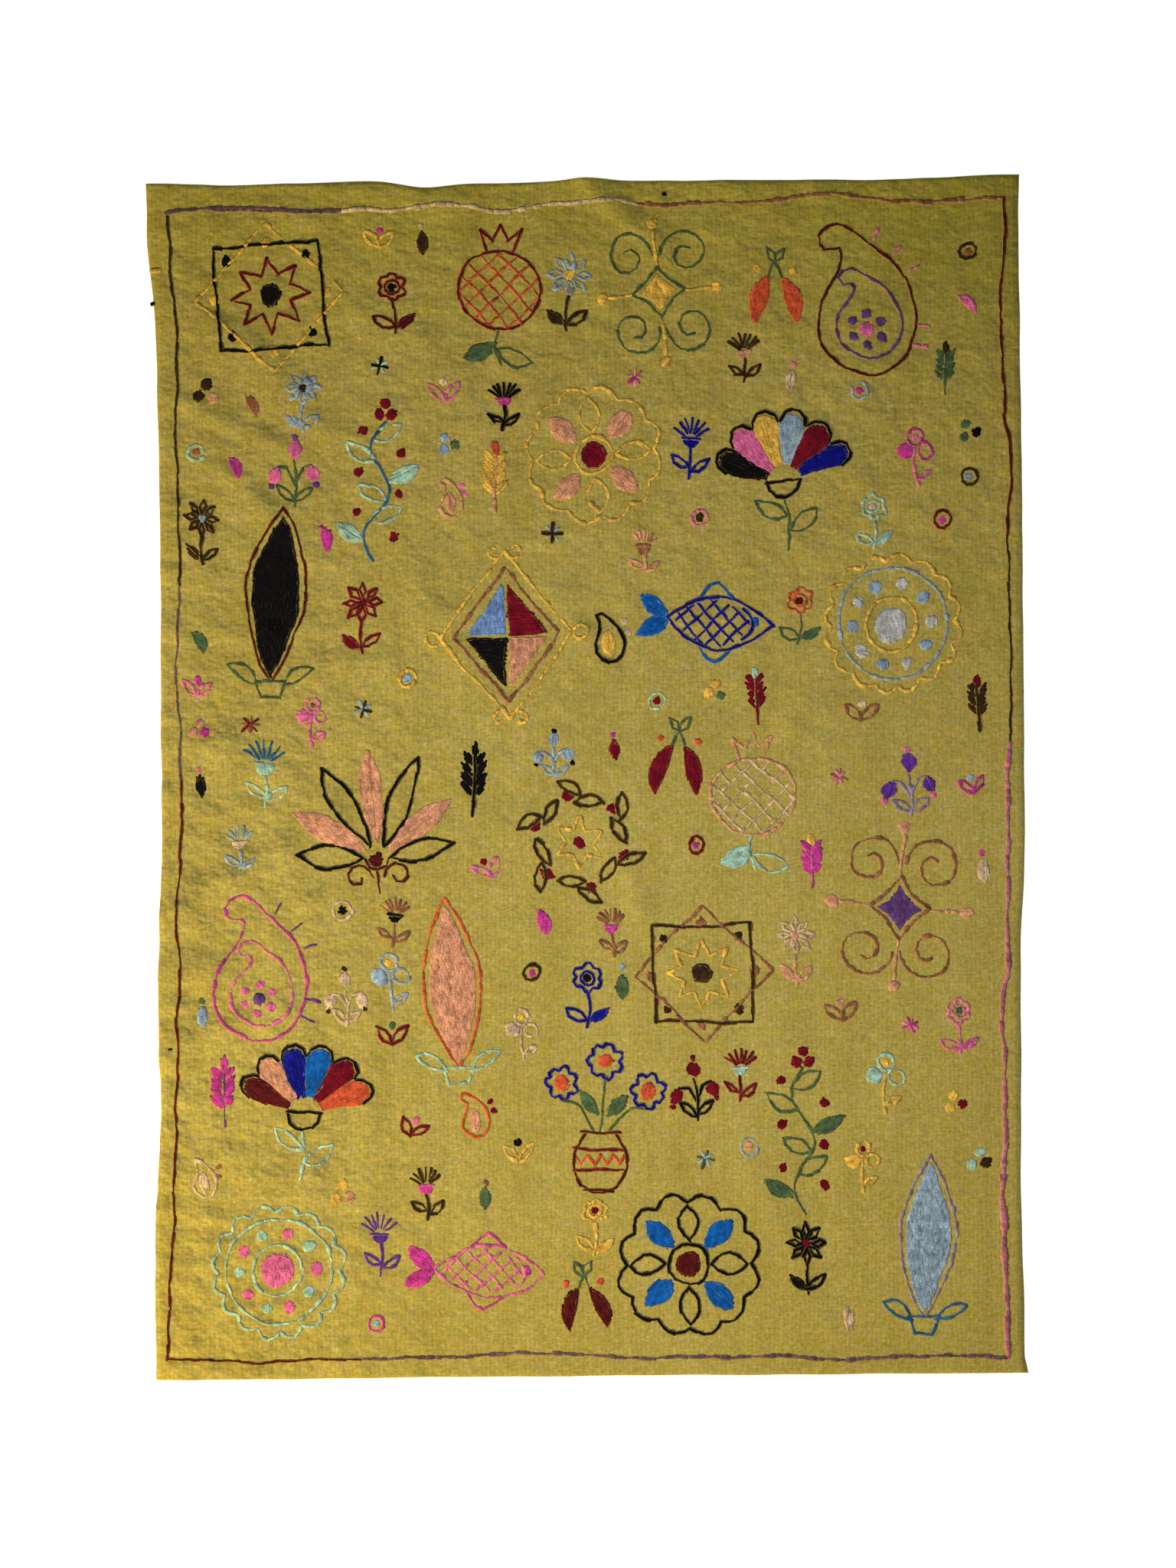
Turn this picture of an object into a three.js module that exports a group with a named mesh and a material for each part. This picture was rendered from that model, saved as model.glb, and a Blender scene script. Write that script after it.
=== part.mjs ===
// Suzani: one panel of handwoven wool cloth, lying face up with the soft ridges left in it.
// Millimetres, +Z up, +Y towards the cloth's top edge.
// The origin is under the middle of the cloth, on the surface that it lies on.

import * as THREE from 'three';
import { mergeVertices } from 'three/addons/utils/BufferGeometryUtils.js';

// Driving dimensions
const clothWidth = 1141;
const clothLength = 1565;
const clothThickness = 2;

// Grid of the sheet: the columns crowd towards the left side, where most ridges are
const columns = 36;
const rows = 54;
const crowding = 1.3;

// Finish of the cloth
const clothColour = '#a08c3e';
const clothRoughness = 0.95;

// How far each edge is drawn in from the straight cut, at distances along it.
// The side edges run from the top corner down, the top edge from the left corner across.
const leftEdge = [
  { along: 0, drawnIn: 0 },
  { along: 60, drawnIn: 1 },
  { along: 200, drawnIn: 12 },
  { along: 430, drawnIn: 15 },
  { along: 850, drawnIn: 14 },
  { along: 1080, drawnIn: 7 },
  { along: 1200, drawnIn: 10 },
  { along: 1380, drawnIn: 1 },
  { along: clothLength, drawnIn: 0 },
];
const rightEdge = [
  { along: 0, drawnIn: 0 },
  { along: 70, drawnIn: 2 },
  { along: 420, drawnIn: 0 },
  { along: 850, drawnIn: 0 },
  { along: 1030, drawnIn: 7 },
  { along: 1330, drawnIn: 9 },
  { along: 1540, drawnIn: 6 },
  { along: clothLength, drawnIn: 2 },
];
const topEdge = [
  { along: 0, drawnIn: 2 },
  { along: 120, drawnIn: 5 },
  { along: 300, drawnIn: 2 },
  { along: 365, drawnIn: 10 },
  { along: 430, drawnIn: 6 },
  { along: 520, drawnIn: 5 },
  { along: 580, drawnIn: 0 },
  { along: 640, drawnIn: 4 },
  { along: 960, drawnIn: 5 },
  { along: clothWidth, drawnIn: 0 },
];
const bottomEdge = [
  { along: 0, drawnIn: 0 },
  { along: 500, drawnIn: 1 },
  { along: clothWidth, drawnIn: 0 },
];

// Soft ridges: the line of each crest, the reach to either side, and the height at both ends of the crest
const ridges = [
  // the fold that runs down from the top edge
  { fromX: -30, fromY: 820, toX: 110, toY: 685, halfWidth: 28, height: 6, endHeight: 1.5 },
  // slanting ridges of the upper left
  { fromX: -540, fromY: 625, toX: -390, toY: 510, halfWidth: 48, height: 2, endHeight: 2.5 },
  { fromX: -500, fromY: 435, toX: -370, toY: 305, halfWidth: 34, height: 1.5, endHeight: 2.5 },
  { fromX: -310, fromY: 620, toX: -180, toY: 550, halfWidth: 40, height: 2, endHeight: 1.5 },
  { fromX: -235, fromY: 275, toX: -150, toY: 130, halfWidth: 34, height: 2, endHeight: 1.5 },
  // ridges that run in from the middle of the left edge
  { fromX: -600, fromY: 45, toX: -480, toY: 55, halfWidth: 34, height: 3.5, endHeight: 3 },
  { fromX: -500, fromY: 40, toX: -400, toY: 5, halfWidth: 38, height: 1.5, endHeight: 3 },
  { fromX: -600, fromY: -200, toX: -330, toY: -45, halfWidth: 36, height: 8, endHeight: 3 },
  { fromX: -590, fromY: -250, toX: -500, toY: -245, halfWidth: 34, height: 3, endHeight: 5 },
  { fromX: -575, fromY: -360, toX: -400, toY: -295, halfWidth: 34, height: 5, endHeight: 3 },
  // shallow ripples of the lower left
  { fromX: -560, fromY: -515, toX: -375, toY: -515, halfWidth: 40, height: 2, endHeight: 4 },
  { fromX: -590, fromY: -670, toX: -440, toY: -570, halfWidth: 32, height: 4, endHeight: 2 },
  // faint ridges of the right half
  { fromX: 290, fromY: 450, toX: 420, toY: 345, halfWidth: 38, height: 1, endHeight: 1 },
  { fromX: 265, fromY: 70, toX: 355, toY: 205, halfWidth: 40, height: 3, endHeight: 3 },
  { fromX: 10, fromY: -30, toX: 70, toY: -170, halfWidth: 34, height: 0.6, endHeight: 1 },
  { fromX: 70, fromY: -170, toX: 130, toY: -295, halfWidth: 34, height: 1, endHeight: 0.6 },
  { fromX: 215, fromY: -525, toX: 320, toY: -735, halfWidth: 34, height: 0.8, endHeight: 0.8 },
];

// The value of an edge table at a distance along the edge, easing from row to row
function drawnInAt(table, along) {
  const next = Math.max(1, table.findIndex((row) => row.along >= along));
  const before = table[next - 1];
  const after = table[next];
  const share = THREE.MathUtils.smoothstep(along, before.along, after.along);
  return THREE.MathUtils.lerp(before.drawnIn, after.drawnIn, share);
}

// The plan position of a point, given its shares of the width from the left and of the length from the bottom
function planPoint(widthShare, lengthShare) {
  const fromTop = clothLength * (1 - lengthShare);
  const fromLeft = clothWidth * widthShare;
  const left = -clothWidth / 2 + drawnInAt(leftEdge, fromTop);
  const right = clothWidth / 2 - drawnInAt(rightEdge, fromTop);
  const bottom = -clothLength / 2 + drawnInAt(bottomEdge, fromLeft);
  const top = clothLength / 2 - drawnInAt(topEdge, fromLeft);
  return new THREE.Vector3(
    THREE.MathUtils.lerp(left, right, widthShare),
    THREE.MathUtils.lerp(bottom, top, lengthShare),
    0,
  );
}

// The height of one ridge over a plan point: a squared cosine of the distance to the crest line
function ridgeHeight(ridge, point) {
  const crest = new THREE.Line3(
    new THREE.Vector3(ridge.fromX, ridge.fromY, 0),
    new THREE.Vector3(ridge.toX, ridge.toY, 0),
  );
  const share = crest.closestPointToPointParameter(point, true);
  const distance = crest.at(share, new THREE.Vector3()).distanceTo(point);
  const fall = Math.cos((Math.PI / 2) * Math.min(1, distance / ridge.halfWidth));
  return THREE.MathUtils.lerp(ridge.height, ridge.endHeight, share) * fall * fall;
}

// The underside's height: zero where the cloth lies flat
function undersideHeight(point) {
  return ridges.reduce((sum, ridge) => sum + ridgeHeight(ridge, point), 0);
}

// The cloth: a thin gridded slab whose points are moved to the outline and up onto the ridges
function makeClothGeometry() {
  const slab = new THREE.BoxGeometry(1, 1, clothThickness, columns, rows, 1);
  slab.deleteAttribute('normal');
  slab.deleteAttribute('uv');
  const sheet = mergeVertices(slab);
  const points = sheet.getAttribute('position');
  for (let i = 0; i < points.count; i += 1) {
    const widthShare = (points.getX(i) + 0.5) ** crowding;
    const lengthShare = points.getY(i) + 0.5;
    const layerHeight = points.getZ(i) + clothThickness / 2;
    const point = planPoint(widthShare, lengthShare);
    points.setXYZ(i, point.x, point.y, undersideHeight(point) + layerHeight);
  }
  sheet.computeVertexNormals();
  return sheet;
}

const clothMaterial = new THREE.MeshStandardMaterial({
  color: clothColour,
  roughness: clothRoughness,
  metalness: 0,
});

const cloth = new THREE.Mesh(makeClothGeometry(), clothMaterial);
cloth.name = 'cloth';

const suzani = new THREE.Group();
suzani.add(cloth);

export default suzani;
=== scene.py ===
import math

import bpy
import numpy as np
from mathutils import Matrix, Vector


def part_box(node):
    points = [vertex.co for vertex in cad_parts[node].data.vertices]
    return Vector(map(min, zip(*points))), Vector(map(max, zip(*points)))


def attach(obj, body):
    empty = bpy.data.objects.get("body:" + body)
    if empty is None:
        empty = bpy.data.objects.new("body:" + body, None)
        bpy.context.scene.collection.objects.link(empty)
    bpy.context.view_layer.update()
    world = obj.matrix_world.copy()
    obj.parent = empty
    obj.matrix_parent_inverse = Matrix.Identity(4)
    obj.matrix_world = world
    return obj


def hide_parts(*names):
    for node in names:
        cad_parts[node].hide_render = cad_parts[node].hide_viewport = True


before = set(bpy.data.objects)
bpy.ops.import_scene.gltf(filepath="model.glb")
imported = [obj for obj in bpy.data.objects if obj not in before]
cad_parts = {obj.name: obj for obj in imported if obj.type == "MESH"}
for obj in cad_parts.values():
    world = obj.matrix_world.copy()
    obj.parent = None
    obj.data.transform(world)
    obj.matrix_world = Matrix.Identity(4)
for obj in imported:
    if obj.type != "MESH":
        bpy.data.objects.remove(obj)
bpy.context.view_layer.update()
clothLow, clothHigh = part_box("cloth")

mm = 0.001  # sizes below are millimetres, the scene is in metres
clothWidth = (clothHigh.x - clothLow.x) / mm
clothLength = (clothHigh.y - clothLow.y) / mm
hand = np.random.default_rng(1165)  # the maker's hand: every uneven step is drawn from here, in order
print(f"frame: cloth {clothWidth:.0f} x {clothLength:.0f} mm")


# Small tools

# sRGB hex to linear light: ((c + 0.055) / 1.055) to the power 2.4, or c / 12.92 close to black
def linear(hexColour):
    channels = [int(hexColour[i:i + 2], 16) / 255 for i in (1, 3, 5)]
    return [c / 12.92 if c < 0.04045 else ((c + 0.055) / 1.055) ** 2.4 for c in channels] + [1.0]


# Adds a shader node, sets its properties, and fills its sockets with values or links.
# A node given for a socket links its first output
def addNode(tree, kind, settings=None, sockets=None):
    node = tree.nodes.new("ShaderNode" + kind)
    for key, value in (settings or {}).items():
        setattr(node, key, value)
    for key, value in (sockets or {}).items():
        if isinstance(value, bpy.types.Node):
            value = value.outputs[0]
        if isinstance(value, bpy.types.NodeSocket):
            tree.links.new(value, node.inputs[key])
        else:
            node.inputs[key].default_value = value
    return node


# A material of that name with an empty tree
def startMaterial(name):
    material = bpy.data.materials.new(name)
    material.use_nodes = True
    material.node_tree.nodes.clear()
    return material, material.node_tree


# Puts a surface into a mesh at the origin: points in millimetres, the faces' corners in one run,
# and the number of corners of each face
def makePiece(name, points, corners, faceSizes, material):
    mesh = bpy.data.meshes.new(name)
    mesh.vertices.add(len(points))
    mesh.vertices.foreach_set("co", (points * mm).astype(np.float32).ravel())
    mesh.loops.add(corners.size)
    mesh.loops.foreach_set("vertex_index", corners.astype(np.int32).ravel())
    mesh.polygons.add(len(faceSizes))
    starts = np.cumsum(faceSizes) - faceSizes
    mesh.polygons.foreach_set("loop_start", starts.astype(np.int32))
    mesh.polygons.foreach_set("use_smooth", np.ones(len(faceSizes), bool))
    mesh.update(calc_edges=True)
    mesh.materials.append(material)
    piece = bpy.data.objects.new(name, mesh)
    bpy.context.scene.collection.objects.link(piece)
    return piece


# The cloth as it lies

clothForm = {
    "thickness": 2.0,
    "rimThickness": 0.8,  # the edge is pressed thinner than the cloth
    "rimWidth": 1.6,
    "cell": (8.8, 4.5),  # spacing of the sheet's grid across and up: closer where the ripples are short
    "edgeWaver": 0.6,  # unevenness of the edges
    "swell": 1.2,  # rise and fall of the flat stretches
    "ripple": 2.1,  # height of the fine ripples low on the left side
    "rippleReach": 260.0,  # they die away over this distance from the left edge
    "rippleRest": 0.1,  # share of them that is left all over
    "pucker": 0.0038,  # height of a pucker, as a share of its length
    "puckerLengths": (26.0, 85.0),
    "puckerTurn": 0.8,  # how far they turn from level, in radians
    "puckerCount": 40,
}

# How far each edge is drawn in from the straight cut: (distance along the edge, drawn in).
# The sides run down from the top corners, the top and bottom run across from the left corners.
leftEdge = [(0, 0), (60, 1), (200, 12), (430, 15), (850, 14), (1080, 7), (1200, 10), (1380, 1), (1565, 0)]
rightEdge = [(0, 0), (70, 2), (420, 0), (850, 0), (1030, 7), (1330, 9), (1540, 6), (1565, 2)]
topEdge = [(0, 2), (120, 5), (300, 2), (365, 10), (430, 6), (520, 5), (580, 0), (640, 4), (960, 5),
           (1141, 0)]
bottomEdge = [(0, 0), (500, 1), (1141, 0)]

# Soft ridges, as in the solid: crest from (x, y) to (x, y), reach to either side,
# height at both ends of the crest
ridges = [
    (-30, 820, 110, 685, 28, 6, 1.5),  # the fold that runs down from the top edge
    (-540, 625, -390, 510, 48, 2, 2.5),  # slanting ridges of the upper left
    (-500, 435, -370, 305, 34, 1.5, 2.5),
    (-310, 620, -180, 550, 40, 2, 1.5),
    (-235, 275, -150, 130, 34, 2, 1.5),
    (-600, 45, -480, 55, 34, 3.5, 3),  # ridges that run in from the middle of the left edge
    (-500, 40, -400, 5, 38, 1.5, 3),
    (-600, -200, -330, -45, 36, 8, 3),
    (-590, -250, -500, -245, 34, 3, 5),
    (-575, -360, -400, -295, 34, 5, 3),
    (-560, -515, -375, -515, 40, 2, 4),  # shallow ripples of the lower left
    (-590, -670, -440, -570, 32, 4, 2),
    (290, 450, 420, 345, 38, 1, 1),  # faint ridges of the right half
    (265, 70, 355, 205, 40, 3, 3),
    (10, -30, 70, -170, 34, 0.6, 1),
    (70, -170, 130, -295, 34, 1, 0.6),
    (215, -525, 320, -735, 34, 0.8, 0.8),
]
# Creases finer than the solid carries, in the same columns
creases = [
    (-20, 800, 60, 716, 14, 1.4, 1.2),  # along the crests of the solid's ridges
    (60, 716, 118, 690, 14, 1.2, 0.5),
    (-470, 405, -375, 312, 18, 1.2, 1.2),
    (-560, -176, -400, -85, 20, 2.0, 1.0),
    (-440, 580, -405, 530, 16, 1.0, 1.0),
    (-225, 258, -180, 215, 14, 1.0, 1.0),
    (-585, 520, -470, 465, 24, 0.8, 1.6),  # soft bends of the upper left
    (-500, 478, -420, 450, 18, 1.0, 1.5),
    (-420, 450, -350, 408, 18, 1.5, 0.5),
    (-385, 488, -290, 440, 18, 1.5, 1.0),
    (-480, 590, -395, 545, 28, 1.2, 1.2),
    (-545, 360, -540, 305, 24, 1.0, 1.8),
    (-560, 205, -410, 185, 26, 1.0, 2.0),
    (-415, 140, -250, 155, 28, 2.0, 1.0),
    (-320, 775, -150, 758, 26, 0.5, 2.0),
    (150, 772, 320, 760, 18, 1.0, 1.5),
    (-585, 95, -520, 78, 20, 2.5, 1.0),  # short ripples that start at the left edge
    (-580, -15, -505, -30, 22, 2.5, 1.5),
    (-580, -95, -520, -82, 20, 2.5, 1.0),
    (-415, -210, -365, -160, 22, 2.5, 1.5),
    (-370, -160, -150, -35, 26, 3.0, 2.5),  # and the long bend that goes on from them
    (-580, -300, -500, -292, 17, 2.5, 1.0),
    (-505, -382, -400, -302, 18, 2.0, 1.0),
    (-580, -420, -505, -402, 20, 3.0, 1.0),
    (-580, -466, -500, -452, 18, 2.5, 1.0),
    (-520, -572, -370, -538, 20, 1.5, 1.5),
    (-580, -560, -470, -545, 15, 2.0, 1.0),
    (-580, -612, -480, -572, 16, 2.5, 1.0),
    (-565, -700, -470, -640, 18, 2.0, 1.0),
    (-580, -730, -480, -690, 18, 2.0, 1.0),
    (-460, -775, -415, -705, 26, 3.0, 1.0),
    (350, 570, 400, 530, 22, 1.0, 1.2),  # and a few on the right, straight and fine
    (-45, 255, 35, 132, 26, 1.2, 1.2),
    (285, 98, 345, 190, 14, 1.0, 1.0),
    (30, -60, 70, -175, 12, 0.5, 0.8),
    (70, -175, 125, -275, 12, 0.8, 0.5),
    (225, -540, 315, -735, 12, 0.6, 0.6),
]


# Value of an edge table at a distance along the edge: from row to row it eases as 3t^2 - 2t^3
def drawnIn(table, along):
    at, value = np.array(table, float).T
    row = np.clip(np.searchsorted(at, along, side="right") - 1, 0, len(at) - 2)
    t = np.clip((along - at[row]) / (at[row + 1] - at[row]), 0, 1)
    return value[row] + (value[row + 1] - value[row]) * t * t * (3 - 2 * t)


# Plan position for shares of the width and length: straight lines between opposite edges,
# each edge being its table plus a small waver of two sines
def planPoint(across, upward):
    fromTop, fromLeft = clothLength * (1 - upward), clothWidth * across
    waver = clothForm["edgeWaver"]
    sideWaver = waver * (np.sin(fromTop / 17.0) + np.sin(fromTop / 41.0 + 1.0)) / 2
    endWaver = waver * (np.sin(fromLeft / 19.0 + 2.0) + np.sin(fromLeft / 47.0)) / 2
    left = -clothWidth / 2 + np.maximum(0, drawnIn(leftEdge, fromTop) + sideWaver)
    right = clothWidth / 2 - np.maximum(0, drawnIn(rightEdge, fromTop) + sideWaver)
    bottom = -clothLength / 2 + np.maximum(0, drawnIn(bottomEdge, fromLeft) + endWaver)
    top = clothLength / 2 - np.maximum(0, drawnIn(topEdge, fromLeft) + endWaver)
    return left + (right - left) * across, bottom + (top - bottom) * upward


# Fine ripples: two sets of short, nearly level waves that bend as they run and come in patches.
# They are highest low on the left side and die away to the right
def rippleHeight(x, y):
    away = np.maximum(0, x + clothWidth / 2)
    fade = np.exp(-(away / clothForm["rippleReach"]) ** 2)
    low = 0.7 - 0.3 * np.tanh((y + 330) / 120)
    height = clothForm["ripple"] * low * (clothForm["rippleRest"] + (1 - clothForm["rippleRest"]) * fade)
    first = np.sin((y - 0.15 * x) / 3.7 + 1.4 * np.sin(x / 63 + y / 140) + 1.1 * np.sin(y / 52))
    second = np.sin((y + 0.2 * x) / 5.6 + 1.8 * np.sin(x / 47 - y / 95) + 1.3 * np.sin(y / 71 + 2))
    mix = 0.5 + 0.5 * np.tanh(2 * np.sin(y / 41 + 1.2 * np.sin(x / 58)))
    patchy = 0.6 + 0.4 * np.sin(x / 33 + 2.1 * np.sin(y / 29))
    return height * patchy * (mix * (1 + first) + (1 - mix) * (1 + second)) / 2


# Slow swells of the flat stretches: three sines, nearly level and aslant, higher towards the top
def swellHeight(x, y):
    level = np.sin(y / 23 + 1.2 * np.sin(x / 90)) + np.sin(y / 12 - x / 45 + 1.3 * np.sin(x / 71))
    aslant = np.sin((x + y) / 17 + 1.5 * np.sin(y / 57))
    high = 0.65 + 0.35 * np.tanh((y - 50) / 250)
    return clothForm["swell"] * high * (1 + (level + aslant) / 3) / 2


# How puckered the cloth is: fully low on the left side, over half towards the top, and hardly
# at the lower right. Both shares change over as logistic curves
def puckered(x, y):
    left = 1 / (1 + np.exp((x + 230) / 110))
    high = 1 / (1 + np.exp((150 - y) / 120))
    return left * (1.1 - 0.4 * high) + (1 - left) * (0.08 + 0.62 * high)


# Puckers: small waves of any length and heading, more of them level than upright, drawn once and added up
puckerHand = np.random.default_rng(58)
shortest, longest = clothForm["puckerLengths"]
puckerLength = shortest * (longest / shortest) ** puckerHand.uniform(0, 1, clothForm["puckerCount"])
puckerHeading = puckerHand.normal(np.pi / 2, clothForm["puckerTurn"], clothForm["puckerCount"])
puckerPhase = puckerHand.uniform(0, 2 * np.pi, clothForm["puckerCount"])


# The sum of all those waves, each as high as its length times the share, where the cloth is puckered
def puckerHeight(x, y):
    total = np.zeros_like(x)
    for length, heading, phase in zip(puckerLength, puckerHeading, puckerPhase):
        total += length * np.sin(2 * np.pi / length * (np.cos(heading) * x + np.sin(heading) * y) + phase)
    return clothForm["pucker"] * puckered(x, y) * total


# Height of the underside: ripples, swells, puckers, and ridges that are each a squared cosine of the
# distance to the crest line, as high as the crest is there. All add up, and nothing goes below the floor
def ridgeHeight(x, y):
    total = rippleHeight(x, y) + swellHeight(x, y) + puckerHeight(x, y)
    for fromX, fromY, toX, toY, reach, height, endHeight in ridges + creases:
        runX, runY = toX - fromX, toY - fromY
        share = np.clip(((x - fromX) * runX + (y - fromY) * runY) / (runX ** 2 + runY ** 2), 0, 1)
        distance = np.hypot(x - fromX - share * runX, y - fromY - share * runY)
        fall = np.cos(np.pi / 2 * np.minimum(1, distance / reach))
        total += (height + share * (endHeight - height)) * fall ** 2
    return np.maximum(0, total)


# The face lies one thickness above the underside
def faceHeight(x, y):
    return ridgeHeight(x, y) + clothForm["thickness"]


# Handwoven wool: a matt, soft plain weave of uneven yarn. The warp shows as faint wavering columns,
# each thread is a streak of its own tone, slubs run across, the wool is flecked golden and olive,
# and the dye is cloudy and runs in streaks. Shade is painted in where the cloth is puckered,
# at the top right corner and along the top edge
woolCloth = {
    "ground": "#a49241",
    "warpPitch": 5.8,  # from column to column; a real one is nearer 3 and would not show in the render
    "thread": 2.5,  # thickness of a thread's streak
    "weftFloat": 8.0,  # how far a weft thread keeps its tone
    "warpFloat": 5.5,
    "slubLength": 60.0,
    "slubWidth": 4.2,
    "fleck": 3.6,  # clumps of lighter and darker wool
    "tint": 7.0,  # clumps of golden and olive wool
    "mottle": (44.0, 30.0),  # painted shade of small puckers, with worn and soiled spots, where the cloth is puckered
    "cloud": 170.0,  # slow change of the dye
    "streak": (36.0, 420.0),  # paler and deeper runs of warp
    "pucker": (14.0, 10.0, 2.8),  # bumps too small for the grid: size across and along, and height
    "grainHeight": 0.1,  # height of the clumps
    "columnHeight": 0.4,  # and of the columns, as a share of that
    "columnWaver": 3.0,
    "columnTone": 0.10,  # how much each pattern brightens the wool, from its darkest to its palest
    "weftTone": 0.8,
    "warpTone": 0.62,
    "slubTone": 0.25,
    "fleckTone": 0.92,
    "mottleTone": 0.55,
    "cloudTone": 0.25,
    "streakTone": 0.3,
    "pale": (0.88, 1.0, 1.9),  # pale wool is greyer: shares of those tones in red, green and blue
    "tintTone": (0.8, 0.0, 3.3),  # its tone in red, green and blue
    # painted shade: the wool is darker and yellower at the top right corner and along the top edge, where
    # the light falls off: middle, reach across and along, tone
    "paintedShade": [((570.0, 790.0), (420.0, 420.0), (-0.22, -0.19, -0.42)),
               ((0.0, 800.0), (4000.0, 260.0), (-0.03, 0.0, -0.34))],
}


def makeWoolCloth():
    s = woolCloth
    material, tree = startMaterial("handwoven wool")
    place = addNode(tree, "TexCoord").outputs["Object"]
    # each noise has its own size across and along, in metres, and its own share of fine grain
    sizes = {
        "weft": (s["weftFloat"], s["thread"], 2.0, 0.5),
        "warp": (s["thread"], s["warpFloat"], 2.0, 0.5),
        "slub": (s["slubLength"], s["slubWidth"], 3.0, 0.5),
        "fleck": (s["fleck"], s["fleck"], 4.0, 0.7),
        "mottle": (*s["mottle"], 3.0, 0.75),
        "cloud": (s["cloud"], s["cloud"], 2.0, 0.5),
        "streak": (*s["streak"], 2.0, 0.5),
        "tint": (1.5 * s["tint"], s["tint"], 5.0, 0.85),
        "pucker": (*s["pucker"][:2], 1.0, 0.5),
    }
    noises = {}
    for name, (across, along, detail, grain) in sizes.items():
        sized = addNode(tree, "Mapping", None,
                        {"Vector": place, "Scale": (1 / across / mm, 1 / along / mm, 1 / along / mm)})
        noises[name] = addNode(tree, "TexNoise", None,
                               {"Vector": sized, "Scale": 1.0, "Detail": detail, "Roughness": grain})
    # columns of the warp: a wave of scale 1 repeats every pi / 10, and a slow distortion makes it waver
    sized = addNode(tree, "Mapping", None,
                    {"Vector": place, "Scale": (1 / s["warpPitch"] / mm, 150.0, 1.0)})
    columns = addNode(tree, "TexWave", {"bands_direction": "X"},
                      {"Vector": sized, "Scale": math.pi / 10, "Distortion": s["columnWaver"], "Detail": 1.0,
                       "Detail Scale": 0.5}).outputs["Fac"]
    puckerShare = addNode(tree, "Attribute", {"attribute_name": "puckered"}).outputs["Fac"]
    # painted shade of the puckers and soiled spots: a noise tone, only where the cloth is puckered
    centred = addNode(tree, "Math", {"operation": "SUBTRACT"}, {0: noises["mottle"], 1: 0.5})
    spots = addNode(tree, "Math", {"operation": "MULTIPLY"}, {0: centred, 1: puckerShare})
    # every pattern multiplies the colour by 1 + tone * (pattern - its middle)
    pale = np.array(s["pale"])
    patterns = [(noises[name], s[name + "Tone"] * pale, 0.5)
                for name in ("weft", "warp", "slub", "fleck", "cloud", "streak")]
    patterns += [(columns, s["columnTone"] * pale, 0.5),
                 (noises["tint"].outputs["Color"], np.array(s["tintTone"]), 0.5),
                 (spots, np.full(3, s["mottleTone"]), 0.0)]
    # painted shade: darkest in the middle, falling evenly to nothing at the reach
    for (x, y), (reachX, reachY), tone in s["paintedShade"]:
        sized = addNode(tree, "Mapping", None,
                        {"Vector": place, "Location": (-x / reachX, -y / reachY, 0.0),
                         "Scale": (1 / reachX / mm, 1 / reachY / mm, 1.0)})
        depth = addNode(tree, "TexGradient", {"gradient_type": "SPHERICAL"}, {"Vector": sized})
        patterns.append((depth.outputs["Fac"], np.array(tone), 0.0))
    colour = linear(s["ground"])[:3]
    for pattern, tone, middle in patterns:
        gain = addNode(tree, "VectorMath", {"operation": "MULTIPLY_ADD"},
                       {0: pattern, 1: tone, 2: 1 - middle * tone})
        colour = addNode(tree, "VectorMath", {"operation": "MULTIPLY"}, {0: colour, 1: gain})
    # heights in millimetres: fine bumps of the columns and clumps, and small puckers where it is puckered
    small = addNode(tree, "Math", {"operation": "MULTIPLY"}, {0: puckerShare, 1: noises["pucker"]})
    grain = addNode(tree, "Math", {"operation": "MULTIPLY_ADD"},
                    {0: columns, 1: s["columnHeight"], 2: noises["fleck"]})
    fine = addNode(tree, "Math", {"operation": "MULTIPLY"}, {0: grain, 1: s["grainHeight"]})
    raised = addNode(tree, "Math", {"operation": "MULTIPLY_ADD"},
                     {0: small, 1: s["pucker"][2], 2: fine})
    bump = addNode(tree, "Bump", None, {"Distance": mm, "Height": raised})
    shader = addNode(tree, "BsdfPrincipled", None,
                     {"Base Color": colour, "Roughness": 0.92, "Specular IOR Level": 0.18,
                      "Sheen Weight": 0.06, "Sheen Roughness": 0.6, "Normal": bump})
    addNode(tree, "OutputMaterial", None, {"Surface": shader})
    return material


# Grid shares over a size: even cells, and one narrow cell at either end for the pressed rim
def gridShares(size, cell):
    rim = clothForm["rimWidth"] / size
    return np.concatenate([[0], np.linspace(rim, 1 - rim, round(size / cell)), [1]])


# The sheet: the face and the underside are the same grid at two heights, closed by a strip round the rim
def makeClothSheet():
    cellAcross, cellUp = clothForm["cell"]
    across, upward = np.meshgrid(gridShares(clothWidth, cellAcross), gridShares(clothLength, cellUp))
    x, y = planPoint(across, upward)
    rim = (across == 0) | (across == 1) | (upward == 0) | (upward == 1)
    under = ridgeHeight(x, y)
    face = np.where(rim, under + clothForm["rimThickness"], faceHeight(x, y))
    points = np.concatenate([np.stack([x, y, z], -1).reshape(-1, 3) for z in (face, under)])
    index = np.arange(x.size).reshape(x.shape)
    quads = np.stack([index[:-1, :-1], index[:-1, 1:], index[1:, 1:], index[1:, :-1]], -1).reshape(-1, 4)
    rimLoop = np.concatenate([index[0, :-1], index[:-1, -1], index[-1, :0:-1], index[:0:-1, 0]])
    onward = np.roll(rimLoop, -1)
    strip = np.stack([rimLoop, rimLoop + x.size, onward + x.size, onward], -1)
    faces = np.concatenate([quads, quads[:, ::-1] + x.size, strip])
    piece = makePiece("cloth_sheet", points, faces, np.full(len(faces), 4), makeWoolCloth())
    layer = piece.data.attributes.new("puckered", "FLOAT", "POINT")
    layer.data.foreach_set("value", puckered(points[:, 0], points[:, 1]).astype(np.float32))
    return piece


clothSheet = makeClothSheet()
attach(clothSheet, "root")
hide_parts("cloth")
print(f"cloth sheet: {2 * len(clothSheet.data.polygons)} triangles")


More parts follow.
